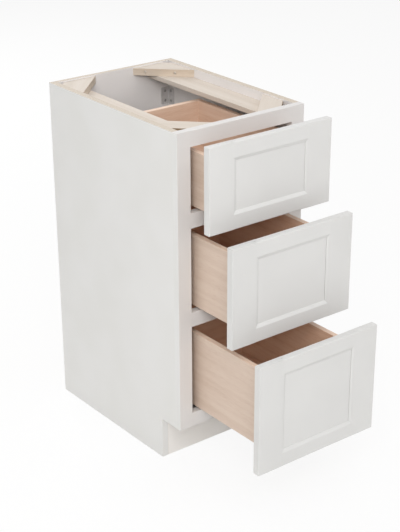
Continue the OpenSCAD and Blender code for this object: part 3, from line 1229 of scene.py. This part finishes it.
@dataclass
class FaceFrame(SubAssembly):
    """The enamelled hardwood frame on the carcass's front: two stiles and four rails."""

    outer_easing: Ease = (1.2, 3)
    inner_easing: Ease = (0.3, 1)

    def build(self) -> None:
        """Build the six members, whose outer edges are rounder than the edges of the openings."""
        skin = Skin(*[self.paints.frame_enamel] * 3)
        low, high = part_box("face_stile_left")
        face = on_plane(Axis.DEPTH, low.y)
        inner = (*self.inner_easing, face)
        easings = [(*self.outer_easing, all_of(on_plane(Axis.ACROSS, low.x, -low.x), face)), inner]
        for side in Side:
            self.board(
                f"face_stile_{side.word}", skin, Axis.UP, Axis.DEPTH, easings,
                coated=[Axis.ACROSS.way(side.value)], coat=self.paints.panel_enamel
            )
        easings = [(*self.outer_easing, all_of(on_plane(Axis.UP, high.z), face)), inner]
        for rail in ("top", "upper_mid", "lower_mid", "bottom"):
            self.board(f"face_{rail}_rail", skin, Axis.ACROSS, Axis.DEPTH, easings)


@dataclass
class Bracing(SubAssembly):
    """The bare wood that squares the case: four corner blocks and the two cleats under them."""

    block_easing: Ease = (0.8, 2)
    cleat_easing: Ease = (1.0, 2)

    def build(self) -> None:
        """Build the blocks, whose grain runs along their sawn long faces, and the cleats."""
        paints = self.paints
        for row, turn in (("front", 1), ("rear", -1)):
            for side in Side:
                way = Side(side.value * turn)
                skin = Skin(paints.poplar_diagonal[way], paints.poplar_sawn[way], paints.poplar_sawn[way])
                # The cut corner's face is painted dark: painted shade of the deep gap behind the block
                cut_corner = Vector((side.value, -turn, 0.0)).normalized()
                self.board(
                    f"corner_block_{row}_{side.word}", skin, Axis.ACROSS, Axis.UP,
                    [(*self.block_easing, any_edge)], coated=[cut_corner], coat=paints.poplar_burnt
                )
        skin = Skin(paints.poplar, paints.poplar, paints.poplar_end)
        for side in Side:
            self.board(f"side_cleat_{side.word}", skin, Axis.DEPTH, Axis.UP, [(*self.cleat_easing, any_edge)])


@dataclass
class CornerBrackets(SubAssembly):
    """The four pressed steel angles that tie the back panel to the side panels."""

    thickness: float = 1.8 * MM
    bend: float = 2.4 * MM
    facets: int = 4
    corner: float = 4.0 * MM
    hole: float = 4.4 * MM
    hole_shares: Point = (0.21, 0.79)

    def build(self) -> None:
        """Fold each angle from its back flange's free edge, round the corner, to its side flange's."""
        pile = MeshPile()
        middle = self.thickness / 2
        for low, high in self.shop.boxes("corner_brackets"):
            side = math.copysign(1.0, low.x)
            width, height = high.x - low.x, high.z - low.z
            reach = width / 2 - middle - self.bend + self.bend * math.pi / 4
            slots = [
                Slot(across, height * share, self.hole, self.hole)
                for across in (-reach, reach) for share in self.hole_shares
            ]
            section = [(-width, -middle), (-middle, -middle), (-middle, -width)]
            sheet = FoldedSheet(section, height, self.thickness, self.bend, self.corner, slots, self.facets)
            corner_x = high.x if side > 0 else low.x
            pile.add(*sheet.build(), place=stand(corner_x, high.y, low.z, side))
        self.piece("corner_angles", pile, [self.paints.bracket_zinc], "corner_brackets")


@dataclass
class CarcassScrews(SubAssembly):
    """The pan head screws, each where the CAD has its plain one: paler in the blocks, as painted light, and
    darker elsewhere.
    """

    screw: PanScrew = PanScrew()
    turn_step: float = 2.4
    rim_reach: float = 0.1 * MM

    def build(self) -> None:
        """Find each screw's axis from its solid and drive a screw there."""
        pile = MeshPile()
        block_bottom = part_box("corner_block_rear_left")[0].z
        for number, points in enumerate(self.shop.solids("carcass_screws")):
            middle = points.mean(axis=0)
            axis = np.linalg.svd(points - middle)[2][0]
            reach = (points - middle) @ axis
            rims = [points[np.abs(reach - end) < self.rim_reach] for end in (reach.min(), reach.max())]
            tip, head = sorted(rims, key=lambda rim: np.linalg.norm(rim - rim.mean(axis=0), axis=1).max())
            top = Vector(head.mean(axis=0))
            way = Vector(tip.mean(axis=0)) - top
            length = way.length - self.screw.head_height
            seat = top + way.normalized() * self.screw.head_height
            self.screw.drive(pile, seat, way, length, number * self.turn_step, int(seat.z < block_bottom))
        zincs = [self.paints.bright_zinc, self.paints.screw_zinc]
        self.piece("pan_head_screws", pile, zincs, "carcass_screws")


# The runners


@dataclass
class CabinetRunners(SubAssembly):
    """What of the six runners stays in the case: the folded cabinet members and their rear brackets."""

    thickness: float = 1.5 * MM
    member_height: float = 10.0 * MM
    tab_corner: float = 3.0 * MM
    tab_hole: float = 4.4 * MM
    tab_hole_height: float = 10.0 * MM
    slot_pitch: float = 64.0 * MM
    slot_length: float = 18.0 * MM
    slot_width: float = 6.0 * MM
    tray_rise: float = 15.5 * MM
    tray_height: float = 8.5 * MM
    plate_corner: float = 4.0 * MM
    plate_slot: float = 7.5 * MM
    plate_slot_shares: Point = (0.16, 0.84)

    def upright_plate(self, width: float, height: float, corner: float, slots: Sequence[Slot]) -> FoldedSheet:
        """Describe a flat plate whose length will run up."""
        section = [(-width / 2, 0.0), (width / 2, 0.0)]
        return FoldedSheet(section, height, self.thickness, corner=corner, slots=slots)

    def build_members(self) -> None:
        """Build the six cabinet members: a slotted channel with a tab that hangs from its front end."""
        pile = MeshPile()
        for low, high in self.shop.boxes("runner_cabinet_members"):
            middle, width = (low.x + high.x) / 2, high.x - low.x
            floor_z = high.z - self.member_height
            length = high.y - low.y - self.thickness
            slots = row_of_slots(length, self.slot_pitch, self.slot_length, self.slot_width)
            rail = channel(width, self.member_height, length, self.thickness, slots)
            pile.add(*rail.build(), place=Matrix.Translation((middle, low.y + self.thickness, floor_z)))
            hole = Slot(0.0, self.tab_hole_height, self.tab_hole, self.tab_hole)
            tab = self.upright_plate(width, floor_z + self.thickness - low.z, self.tab_corner, [hole])
            pile.add(*tab.build(), place=stand(middle, low.y + self.thickness / 2, low.z))
        self.piece("cabinet_channels", pile, [self.paints.zinc], "runner_cabinet_members")

    def build_rear_brackets(self) -> None:
        """Build the six rear brackets: a tray under the channel's end and a plate on the back panel."""
        pile = MeshPile()
        for low, high in self.shop.boxes("runner_rear_brackets"):
            middle, width, height = (low.x + high.x) / 2, high.x - low.x, high.z - low.z
            tray = channel(width, self.tray_height, high.y - low.y - self.thickness, self.thickness)
            pile.add(*tray.build(), place=Matrix.Translation((middle, low.y, low.z + self.tray_rise)))
            slots = [Slot(0.0, height * n, self.plate_slot, self.tab_hole) for n in self.plate_slot_shares]
            plate = self.upright_plate(width, height, self.plate_corner, slots)
            pile.add(*plate.build(), place=stand(middle, high.y - self.thickness / 2, low.z))
        self.piece("rear_trays", pile, [self.paints.zinc], "runner_rear_brackets")

    def build(self) -> None:
        """Build both."""
        self.build_members()
        self.build_rear_brackets()


# The number of the acetal parts' material in a piece whose other parts are steel or nylon
ACETAL = 1


@dataclass
class DrawerRunner(SubAssembly):
    """What of one drawer's runners moves: middle members on rollers, drawer members and locking clips."""

    storey: Storey
    thickness: float = 1.2 * MM
    strip: float = 0.8 * MM
    cage: float = 0.5 * MM
    outer_strip: Point = (1.0 * MM, 6.5 * MM)
    inner_strip: Point = (5.0 * MM, 12.0 * MM)
    roller_pitch: float = 14.0 * MM
    roller_margin: float = 0.8 * MM
    roller_chamfer: float = 0.1 * MM
    roller_facets: int = 10
    slot_pitch: float = 90.0 * MM
    middle_slot_length: float = 26.0 * MM
    drawer_slot_length: float = 13.0 * MM
    slot_width: float = 7.0 * MM
    clip_body: float = 24.0 * MM
    clip_nose: float = 7.0 * MM
    clip_corner: float = 1.5 * MM
    lever_thickness: float = 1.6 * MM
    lever_drop: float = 2.6 * MM
    lever_width: float = 11.0 * MM
    thumb_width: float = 19.0 * MM
    thumb_length: float = 14.0 * MM
    rib_height: float = 0.7 * MM
    rib_width: float = 1.4 * MM
    rib_corner: float = 0.56 * MM
    ribs: int = 5
    pivot_radius: float = 3.2 * MM
    pivot_foot: float = 2.56 * MM
    pivot_inset: float = 6.4 * MM
    pivot_facets: int = 20

    def add_rollers(
        self, pile: MeshPile, x: float, start: float, end: float, low: float, high: float
    ) -> None:
        """Add one bearing strip: a thin cage with a row of upright steel rollers.

        Args:
            pile: the piece's parts.
            x: the middle of the strip's thickness.
            start: where the strip starts, along the cabinet's depth.
            end: where it ends.
            low: its lower edge.
            high: its upper edge.
        """
        half = self.cage / 2
        outline = [Vector(spot) for spot in rectangle(x - half, x + half, start, end)]
        pile.add(*prism(outline, low, high), ACETAL)
        bottom, top = low + self.roller_margin, high - self.roller_margin
        radius, chamfer = self.strip / 2, self.roller_chamfer
        profile = [
            (0.0, bottom), (radius - chamfer, bottom), (radius, bottom + chamfer),
            (radius, top - chamfer), (radius - chamfer, top), (0.0, top)
        ]
        for y in spaced(start, end, int((end - start) // self.roller_pitch)):
            pile.add(*revolve(profile, self.roller_facets), place=Matrix.Translation((x, y, 0.0)))

    def build_middle_members(self) -> None:
        """Build the two middle members with their four bearing strips each."""
        node = self.storey.word + "_middle_members"
        pile = MeshPile()
        for low, high in self.shop.boxes(node):
            middle, width = (low.x + high.x) / 2, high.x - low.x - 2 * self.strip
            length = high.y - low.y
            slots = row_of_slots(length, self.slot_pitch, self.middle_slot_length, self.slot_width)
            rail = channel(width, high.z - low.z, length, self.thickness, slots)
            pile.add(*rail.build(), place=Matrix.Translation((middle, low.y, low.z)))
            outer = (width + self.strip) / 2
            inner = outer - self.strip - self.thickness
            for side in Side:
                for reach, (bottom, top) in ((outer, self.outer_strip), (inner, self.inner_strip)):
                    x = middle + side.value * reach
                    self.add_rollers(pile, x, low.y, high.y, low.z + bottom, low.z + top)
        self.piece(node.replace("members", "channels"), pile, [self.paints.zinc, self.paints.acetal], node)

    def build_drawer_members(self) -> None:
        """Build the two drawer members, channels that are open at the bottom."""
        node = self.storey.word + "_drawer_members"
        pile = MeshPile()
        upside_down = Matrix.Rotation(math.pi, 4, "Y")
        for low, high in self.shop.boxes(node):
            length = high.y - low.y
            slots = row_of_slots(length, self.slot_pitch, self.drawer_slot_length, self.slot_width)
            rail = channel(high.x - low.x, high.z - low.z, length, self.thickness, slots)
            place = Matrix.Translation(((low.x + high.x) / 2, low.y, high.z)) @ upside_down
            pile.add(*rail.build(), place=place)
        self.piece(node.replace("members", "channels"), pile, [self.paints.zinc], node)

    def build_clips(self) -> None:
        """Build the two locking clips: an L-shaped body with a ribbed lever on a pivot under it."""
        node = self.storey.word + "_runner_clips"
        pile = MeshPile()
        for low, high in self.shop.boxes(node):
            side = math.copysign(1.0, low.x + high.x)
            inner = low.x if side > 0 else high.x
            width, length = high.x - low.x, high.y - low.y
            place = Matrix.Translation((inner, low.y, 0.0)) @ Matrix.Diagonal((side, 1.0, 1.0, 1.0))
            body = [
                (0.0, 0.0), (width, 0.0), (width, self.clip_nose), (self.clip_body, self.clip_nose),
                (self.clip_body, length), (0.0, length)
            ]
            body_z = low.z + self.lever_drop
            pile.add(*prism(rounded(body, self.clip_corner), body_z, high.z), place=place)
            self.add_lever(pile, place, length, low.z)
        self.piece(node.replace("clips", "locks"), pile, [self.paints.nylon, self.paints.acetal], node)

    def add_lever(self, pile: MeshPile, place: Matrix, length: float, low: float) -> None:
        """Add a clip's lever.

        Args:
            pile: the piece's parts.
            place: where the clip goes.
            length: the clip's length.
            low: the height of its lowest face.
        """
        middle = self.clip_body / 2
        arm, thumb = self.lever_width / 2, self.thumb_width / 2
        start, end = self.clip_corner, length - self.clip_corner
        shoulder = start + self.thumb_length
        outline = [
            (middle - thumb, start), (middle + thumb, start), (middle + thumb, shoulder),
            (middle + arm, shoulder), (middle + arm, end), (middle - arm, end),
            (middle - arm, shoulder), (middle - thumb, shoulder)
        ]
        lever_z = low + self.rib_height
        lever = rounded(outline, self.clip_corner)
        pile.add(*prism(lever, lever_z, lever_z + self.lever_thickness), ACETAL, place)
        reach, half = thumb - self.clip_corner, self.rib_width / 2
        for y in spaced(start, shoulder, self.ribs):
            rib = rounded(rectangle(middle - reach, middle + reach, y - half, y + half), self.rib_corner)
            pile.add(*prism(rib, low, lever_z), ACETAL, place)
        radius, top = self.pivot_radius, low + self.lever_drop
        pin = [(0.0, low), (self.pivot_foot, low), (radius, lever_z), (radius, top), (0.0, top)]
        pivot = place @ Matrix.Translation((middle, end - self.pivot_inset, 0.0))
        pile.add(*revolve(pin, self.pivot_facets), place=pivot)

    def build(self) -> None:
        """Build what moves with this drawer's runners."""
        self.build_middle_members()
        self.build_drawer_members()
        self.build_clips()


# The drawers


@dataclass
class DrawerFront(SubAssembly):
    """One enamelled front: a frame of stiles and rails, bevelled on the inside, round a flat panel."""

    storey: Storey
    outer_easing: Ease = (1.8, 3)
    arris_easing: Ease = (0.6, 2)
    foot_easing: Ease = (0.8, 3)
    bevel_depth: float = 3.5 * MM
    screw: PanScrew = PanScrew(head_radius=4.4 * MM, head_height=2.4 * MM)
    screw_length: float = 13.0 * MM
    screw_inset: float = 46.0 * MM
    screw_shares: Point = (0.3, 0.74)

    def build(self) -> None:
        """Build the five boards, eased at their outline and at the bevel's arris and foot, and the screws."""
        name = self.storey.word + "_front_"
        skin = Skin(*[self.paints.front_enamel] * 3)
        low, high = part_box(name + "stile_left")
        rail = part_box(name + "bottom_rail")[1]
        bevel = rail.x + high.x
        flat_low, flat_high = rail.z - bevel, low.z + high.z - rail.z + bevel
        face, ends = on_plane(Axis.DEPTH, low.y), on_plane(Axis.UP, low.z, high.z)
        round_stiles = any_of(on_plane(Axis.ACROSS, low.x, -low.x), all_of(ends, equally_deep))
        round_rails = all_of(ends, on_plane(Axis.DEPTH, low.y, high.y))
        foot = all_of(
            on_plane(Axis.DEPTH, low.y + self.bevel_depth),
            any_of(
                on_plane(Axis.ACROSS, high.x, -high.x),
                on_plane(Axis.UP, rail.z, low.z + high.z - rail.z),
            ),
        )
        on_stiles = all_of(on_plane(Axis.ACROSS, rail.x, -rail.x), between(Axis.UP, flat_low, flat_high))
        on_rails = on_plane(Axis.UP, flat_low, flat_high)
        cuts = [(Axis.UP, flat_low), (Axis.UP, flat_high)]
        for board, grain, outline, arris, board_cuts in (
            ("stile_left", Axis.UP, round_stiles, on_stiles, cuts),
            ("stile_right", Axis.UP, round_stiles, on_stiles, cuts),
            ("top_rail", Axis.ACROSS, round_rails, on_rails, ()),
            ("bottom_rail", Axis.ACROSS, round_rails, on_rails, ()),
        ):
            easings = [
                (*self.outer_easing, outline), (*self.arris_easing, all_of(face, arris)),
                (*self.foot_easing, foot)
            ]
            self.board(name + board, skin, grain, Axis.DEPTH, easings, cuts=board_cuts)
        self.board(name + "panel", skin, Axis.UP, Axis.DEPTH, [])
        self.screw_on()

    def screw_on(self) -> None:
        """Drive four screws through the box's front from the inside of the box."""
        low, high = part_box(self.storey.word + "_box_front")
        pile = MeshPile()
        for number, side in enumerate(Side):
            for share in self.screw_shares:
                x = side.value * (high.x - self.screw_inset)
                seat = Vector((x, high.y, low.z + (high.z - low.z) * share))
                self.screw.drive(pile, seat, Axis.DEPTH.way(-1), self.screw_length, number + share)
        self.piece(
            self.storey.word + "_front_screws", pile, [self.paints.screw_zinc],
            body=self.storey.word + "_drawer", slot="screw_steel"
        )


@dataclass
class DrawerBox(SubAssembly):
    """One dovetailed hardwood box with a plywood bottom and lightly eased edges."""

    storey: Storey
    easing: Ease = (1.0, 2)

    def build(self) -> None:
        """Build the four walls and the bottom."""
        name = self.storey.word + "_box_"
        low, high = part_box(name + "side_right")
        wall = high.x - low.x
        # The edges' lighter birch is a painted highlight
        birch, edge, end = self.paints.birch, self.paints.birch_edge, self.paints.birch_end
        # The inside faces take the painted warmth of light bounced between the walls
        inside = self.paints.birch_inside[self.storey]
        long_edges = all_of(
            on_plane(Axis.UP, low.z, high.z), on_plane(Axis.ACROSS, low.x, high.x, -low.x, -high.x)
        )
        skin = Skin(birch[Axis.DEPTH], edge[Axis.DEPTH], end)
        for side in Side:
            self.board(
                f"{name}side_{side.word}", skin, Axis.DEPTH, Axis.ACROSS, [(*self.easing, long_edges)],
                coated=[Axis.ACROSS.way(-side.value)], coat=inside[Axis.DEPTH]
            )
        skin = Skin(birch[Axis.ACROSS], edge[Axis.ACROSS], end)
        at_ends = on_plane(Axis.ACROSS, high.x, -high.x)
        over_inside = between(Axis.ACROSS, -low.x, low.x)
        # The drawer front hides the box front's outer edge, so only the back's is eased
        walls = (("front", 1, low.y + wall, ()), ("back", -1, high.y - wall, (high.y,)))
        for board, turn, inner, outer in walls:
            shown = any_of(
                all_of(on_plane(Axis.DEPTH, inner), over_inside), at_ends, on_plane(Axis.DEPTH, *outer)
            )
            self.board(
                name + board, skin, Axis.ACROSS, Axis.DEPTH,
                [(*self.easing, all_of(on_plane(Axis.UP, high.z), shown))],
                cuts=[(Axis.ACROSS, low.x), (Axis.ACROSS, -low.x)],
                coated=[Axis.DEPTH.way(turn)], coat=inside[Axis.ACROSS]
            )
        layers = self.paints.plywood_edge[Axis.UP]
        self.board(
            name + "bottom", Skin(birch[Axis.DEPTH], layers, layers), Axis.DEPTH, Axis.UP, [],
            coated=[Axis.UP.way()], coat=inside[Axis.DEPTH]
        )


# The studio


@dataclass(frozen=True)
class PhotoCamera:
    """The photograph's camera, solved from the cabinet's straight edges."""

    eye: Place = (-1.8961, -2.8235, 1.8016)
    azimuth: float = math.radians(-38.359)
    elevation: float = math.radians(25.314)
    focal_px: float = 1336.361
    centre_px: Point = (214.246, 306.622)
    size_px: Point = (400, 532)
    sensor_mm: float = 36.0
    nearest: float = 0.05
    farthest: float = 60.0

    def build(self) -> None:
        """Make the scene's camera."""
        data = bpy.data.cameras.new("photo_camera")
        camera = bpy.data.objects.new("photo_camera", data)
        bpy.context.scene.collection.objects.link(camera)
        bpy.context.scene.camera = camera
        back = Vector((
            math.sin(self.azimuth) * math.cos(self.elevation),
            -math.cos(self.azimuth) * math.cos(self.elevation),
            math.sin(self.elevation),
        ))
        camera.location = self.eye
        camera.rotation_mode = "QUATERNION"
        camera.rotation_quaternion = (-back).to_track_quat("-Z", "Y")
        longer = max(self.size_px)
        data.sensor_width = self.sensor_mm
        data.lens = self.focal_px * self.sensor_mm / longer
        data.shift_x = (self.size_px[0] / 2 - self.centre_px[0]) / longer
        data.shift_y = (self.centre_px[1] - self.size_px[1] / 2) / longer
        data.clip_start = self.nearest
        data.clip_end = self.farthest


@dataclass(frozen=True)
class SoftBox:
    """A square soft box that shines on the cabinet."""

    name: str
    place: Place
    size: float
    power: float
    aim: Place = (0.0, -0.35, 0.45)

    def build(self) -> None:
        """Hang the soft box."""
        data = bpy.data.lights.new(self.name, "AREA")
        data.energy = self.power
        data.size = self.size
        lamp = bpy.data.objects.new(self.name, data)
        bpy.context.scene.collection.objects.link(lamp)
        lamp.location = self.place
        lamp.rotation_mode = "QUATERNION"
        lamp.rotation_quaternion = (Vector(self.aim) - Vector(self.place)).to_track_quat("-Z", "Y")


@dataclass
class Studio:
    """A white sweep, an even sky and large soft boxes."""

    sky_level: float = 0.41
    floor_size: float = 16.0
    floor_gap: float = 0.5 * MM
    paper: str = "#f6f6f5"
    shadow_share: float = 0.12
    soft_boxes: Sequence[SoftBox] = (
        SoftBox("overhead_box", (-0.6, -1.2, 3.6), 3.0, 21.0),
        SoftBox("front_left_box", (-2.6, -3.3, 3.1), 2.6, 112.0),
        SoftBox("front_right_box", (2.6, -3.3, 2.6), 2.6, 22.0),
        SoftBox("rear_box", (0.5, 3.5, 2.6), 2.6, 73.0),
    )

    def paint_world(self) -> None:
        """Give a plain level of light, and white behind the object for the camera, gloss and glass."""
        world = bpy.data.worlds.new("white_studio")
        bpy.context.scene.world = world
        world.use_nodes = True
        tree = world.node_tree
        tree.nodes.clear()
        path = add_node(tree, "LightPath")
        seen = path.outputs["Is Camera Ray"]
        for ray in ("Is Glossy Ray", "Is Transmission Ray"):
            links = {0: seen, 1: path.outputs[ray]}
            seen = add_node(tree, "Math", links=links, operation="MAXIMUM").outputs["Value"]
        light, white = (
            add_node(tree, "Background", {"Color": linear(WHITE), "Strength": level})
            for level in (self.sky_level, 1.0)
        )
        links = {0: seen, 1: light.outputs["Background"], 2: white.outputs["Background"]}
        mixed = add_node(tree, "MixShader", links=links)
        add_node(tree, "OutputWorld", links={"Surface": mixed.outputs["Shader"]})

    def lay_floor(self) -> None:
        """Lay a white floor that keeps a soft part of the object's shadow."""
        half = self.floor_size / 2
        mesh = bpy.data.meshes.new("studio_floor")
        corners = [(x, y, 0.0) for x, y in rectangle(-half, half, -half, half)]
        mesh.from_pydata(corners, [], [range(len(corners))])
        floor = bpy.data.objects.new("studio_floor", mesh)
        bpy.context.scene.collection.objects.link(floor)
        floor.location.z = -self.floor_gap
        material = bpy.data.materials.new("white_paper_sweep")
        material.use_nodes = True
        tree = material.node_tree
        tree.nodes.clear()
        paper = add_node(tree, "BsdfDiffuse", {"Color": linear(self.paper)})
        glow = add_node(tree, "Emission", {"Color": linear(WHITE), "Strength": 1.0})
        path = add_node(tree, "LightPath")
        values = {1: 1 - self.shadow_share}
        share = add_node(tree, "Math", values, {0: path.outputs["Is Camera Ray"]}, operation="MULTIPLY")
        links = {0: share.outputs["Value"], 1: paper.outputs["BSDF"], 2: glow.outputs["Emission"]}
        mixed = add_node(tree, "MixShader", links=links)
        add_node(tree, "OutputMaterial", links={"Surface": mixed.outputs["Shader"]})
        mesh.materials.append(material)

    def build(self) -> None:
        """Set up the world, floor, lamps and colour handling."""
        bpy.context.scene.view_settings.view_transform = "Standard"
        self.paint_world()
        self.lay_floor()
        for soft_box in self.soft_boxes:
            soft_box.build()


def main() -> None:
    """Build the cabinet from the case to the last drawer, and then the studio."""
    logging.basicConfig(level=logging.INFO, format="%(message)s")
    PhotoCamera().build()
    Studio().build()
    shop = Workshop(frame["record"])
    paints = PaintShop()
    Carcass(shop, paints).build()
    FaceFrame(shop, paints).build()
    Bracing(shop, paints).build()
    CornerBrackets(shop, paints).build()
    CabinetRunners(shop, paints).build()
    CarcassScrews(shop, paints).build()
    for storey in Storey:
        DrawerFront(shop, paints, storey).build()
        DrawerBox(shop, paints, storey).build()
        DrawerRunner(shop, paints, storey).build()


if __name__ == "__main__":
    main()
